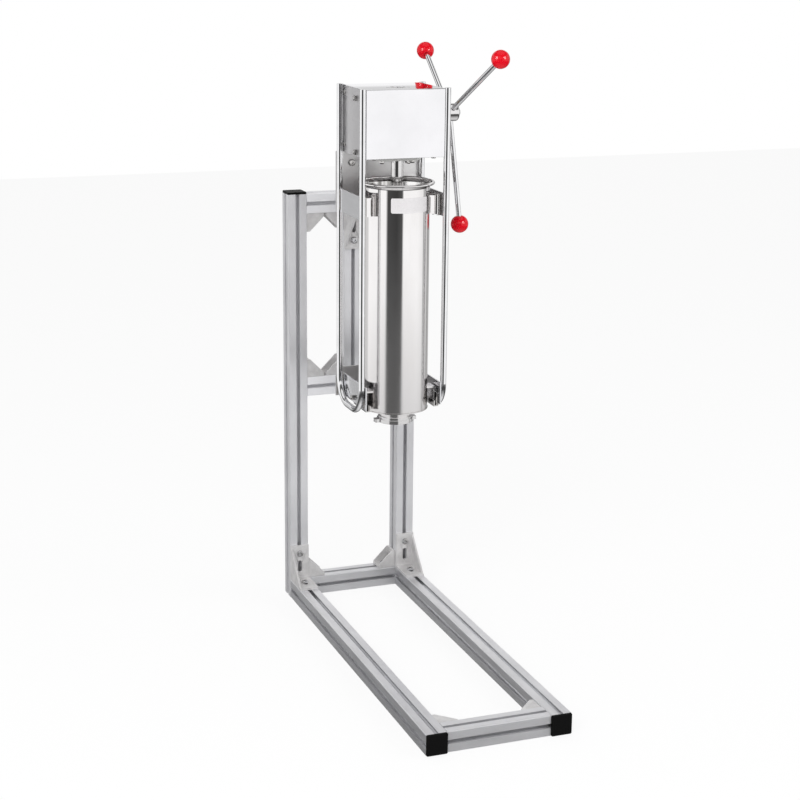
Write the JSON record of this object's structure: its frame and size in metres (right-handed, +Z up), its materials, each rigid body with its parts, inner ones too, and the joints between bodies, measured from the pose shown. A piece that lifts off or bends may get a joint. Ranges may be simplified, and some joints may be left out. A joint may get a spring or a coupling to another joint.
{
  "type": "churro maker",
  "caption": "Hand-cranked churro press: rack-driven piston in an upright steel cylinder with a star outlet, hung from a slotted aluminium stand with a long open base",
  "frame": {"origin": "centre of the footprint's bounding box on the floor plane", "axes": "+Z up, the two rails run to the front along -Y, the crank is on the +X side"},
  "size_m": [0.2984, 0.849, 1.183],
  "materials": {
    "profile_aluminium": "satin anodised extrusion",
    "cast_aluminium": "blasted die casting",
    "machined_aluminium": "turned, fine feed marks",
    "screw_steel": "zinc-plated steel",
    "zinc_steel": "zinc-plated steel",
    "black_plastic": "matte moulded plastic",
    "black_steel": "black powder coat",
    "polished_rod": "polished round bar",
    "stainless_sheet": "bright rolled stainless sheet",
    "machined_stainless": "turned stainless steel",
    "gear_steel": "milled steel, lightly greased",
    "bronze": "sintered bronze",
    "white_plastic": "machined acetal",
    "seal_rubber": "food-grade silicone",
    "red_knob_plastic": "glossy moulded ball",
    "label_film": "blank white film"
  },
  "bodies": {
    "stand": {"left_post": "profile_aluminium", "right_post": "profile_aluminium", "left_rail": "profile_aluminium", "right_rail": "profile_aluminium", "front_bar": "profile_aluminium", "rear_bar": "profile_aluminium", "middle_bar": "profile_aluminium", "top_bar": "profile_aluminium", "centre_post": "profile_aluminium", "upper_arm": "profile_aluminium", "lower_arm": "profile_aluminium", "corner_brackets": "cast_aluminium", "left_foot_bracket": "cast_aluminium", "right_foot_bracket": "cast_aluminium", "arm_bracket": "cast_aluminium", "bracket_screws": "screw_steel", "arm_screws": "screw_steel", "plate_bolts": "screw_steel", "box_screws": "screw_steel", "hex_bolts": "screw_steel", "slot_nuts": "zinc_steel", "bar_caps": "black_plastic", "upper_mount": "black_steel", "lower_mount": "black_steel", "left_u_frame": "polished_rod", "right_u_frame": "polished_rod", "left_upper_plate": "stainless_sheet", "right_upper_plate": "stainless_sheet", "left_lower_plate": "stainless_sheet", "right_lower_plate": "stainless_sheet", "upper_rear_plate": "stainless_sheet", "lower_rear_plate": "stainless_sheet", "spring_clips": "stainless_sheet", "cradles": "stainless_sheet", "gearbox_chassis": "stainless_sheet", "gearbox_hood": "stainless_sheet", "bearing_plates": "machined_stainless", "shaft_bushes": "bronze", "lower_rack_guide": "white_plastic", "upper_rack_guide": "white_plastic"},
    "piston": {"rack": "gear_steel", "piston": "machined_aluminium", "piston_seal": "seal_rubber", "piston_nut": "machined_stainless", "air_valve": "machined_stainless"},
    "handle": {"handle_shaft": "polished_rod", "pinion": "gear_steel", "pinion_key": "gear_steel", "shaft_rings": "gear_steel", "handle_hub": "machined_stainless", "hub_screw": "screw_steel", "spokes": "polished_rod", "knobs": "red_knob_plastic"},
    "cylinder": {"cylinder": "stainless_sheet", "cylinder_floor": "stainless_sheet", "cylinder_lugs": "stainless_sheet", "cylinder_label": "label_film"},
    "nozzle": {"outlet_ring": "machined_stainless", "star_die": "machined_stainless", "outlet_gasket": "seal_rubber"}
  },
  "joints": [
    {"name": "piston_slide", "type": "slide", "parent": "stand", "child": "piston", "axis": [0, 0, 1], "range_m": [0, 0.4365]},
    {"name": "handle_turn", "type": "hinge", "parent": "stand", "child": "handle", "pos_m": [-0.00921, 0.15305, 1.052], "axis": [1, 0, 0], "range_deg": [-1112, 0]},
    {"name": "cylinder_lift", "type": "slide", "parent": "stand", "child": "cylinder", "axis": [0, 0, 1], "range_m": [0, 0.012]},
    {"name": "outlet_turn", "type": "hinge", "parent": "cylinder", "child": "nozzle", "pos_m": [-0.00921, 0.12405, 0.452], "axis": [0, 0, 1], "range_deg": [-360, 0]}
  ],
  "couplings": [
    {"joint": "handle_turn", "follows": "piston_slide", "rad_per_m": -44.444}
  ]
}
